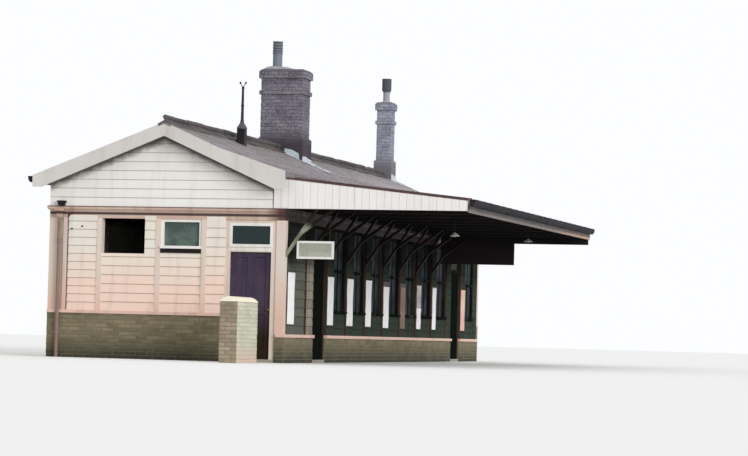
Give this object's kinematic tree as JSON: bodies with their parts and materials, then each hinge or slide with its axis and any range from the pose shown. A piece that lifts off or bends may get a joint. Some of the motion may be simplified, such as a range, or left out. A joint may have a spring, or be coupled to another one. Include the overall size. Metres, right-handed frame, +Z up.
{
  "type": "railway station building",
  "caption": "Single-storey boarded timber station building with slated gable roof, deep platform canopy and brick ridge chimneys",
  "frame": {"origin": "on the ground, in the middle of the building's walls, at the underside of the floor slab", "axes": "X along the platform towards the far gable, Y from the platform side to the back, Z up"},
  "size_m": [19.174, 8.904, 7.05],
  "materials": {
    "masonry": "weathered brickwork, stained near the ground",
    "cement": "trowelled cement, weathered",
    "buff_paint": "pinkish buff oil paint on planed timber, chalking",
    "brown_paint": "dark brown oil paint on planed timber, sooty",
    "dark_boards": "dark green-brown oil paint on weatherboards, sooty",
    "cream_boards": "cream oil paint on weatherboards, chalking",
    "white_boards": "off-white oil paint on sawn boards",
    "white_paint": "off-white oil paint on planed timber",
    "door_paint": "dark purple-brown oil paint",
    "green_paint": "dark green oil paint",
    "dark_timber": "sooty brown timber",
    "slate": "natural slate, mottled and weathered",
    "ridge_clay": "dark clay ridge tiles, weathered",
    "dark_brick": "dark brick with sooty joints",
    "pot_clay": "clay chimney pots, smoke-stained",
    "sheet_metal": "painted sheet metal, weathered",
    "iron": "painted cast iron, weathered",
    "brass": "dull brass",
    "lamp_enamel": "white enamelled steel",
    "glass": "old window glass, grimy"
  },
  "bodies": {
    "building": {"back_wall_lower_boards": "cream_boards", "back_wall_pier_boards": "cream_boards", "back_wall_posts": "buff_paint", "back_wall_upper_boards": "cream_boards", "big_chimney": "dark_brick", "canopy_brackets": "brown_paint", "canopy_deck": "sheet_metal", "canopy_far_panel": "dark_timber", "canopy_fascia": "buff_paint", "canopy_joists": "dark_timber", "canopy_lamps": "lamp_enamel", "canopy_near_panel": "white_boards", "ceiling": "white_paint", "chimney_pots": "pot_clay", "downpipes": "iron", "far_bargeboards": "white_paint", "far_gable_boards": "cream_boards", "far_gable_posts": "buff_paint", "far_pediment": "white_boards", "floor": "cement", "frieze": "buff_paint", "gents_door_frame": "buff_paint", "gents_frame_hinges": "iron", "gutters": "iron", "name_board": "white_paint", "name_board_hangers": "iron", "near_bargeboards": "white_paint", "near_gable_boards": "cream_boards", "near_gable_posts": "buff_paint", "near_pediment": "white_boards", "outer_door_frames": "brown_paint", "outer_doors": "door_paint", "platform_wall_lower_boards": "dark_boards", "platform_wall_pier_boards": "dark_boards", "platform_wall_posts": "brown_paint", "platform_wall_upper_boards": "dark_boards", "plinth": "masonry", "plinth_sills": "buff_paint", "poster_boards": "green_paint", "ridge_tiles": "ridge_clay", "roof_back_slope": "slate", "roof_front_slope": "slate", "roof_vent": "iron", "screen_coping": "cement", "screen_wall": "masonry", "small_chimney": "dark_brick", "thresholds": "cement", "window_frames": "white_paint", "window_glass": "glass"},
    "gents_door": {"gents_door": "door_paint", "gents_door_knob": "brass", "gents_door_hinges": "iron"}
  },
  "joints": [
    {"name": "gents_door_hinge", "type": "hinge", "parent": "building", "child": "gents_door", "pos_m": [-8.271, -1.2825, 1], "axis": [0, 0, 1], "range_deg": [0, 90]}
  ]
}
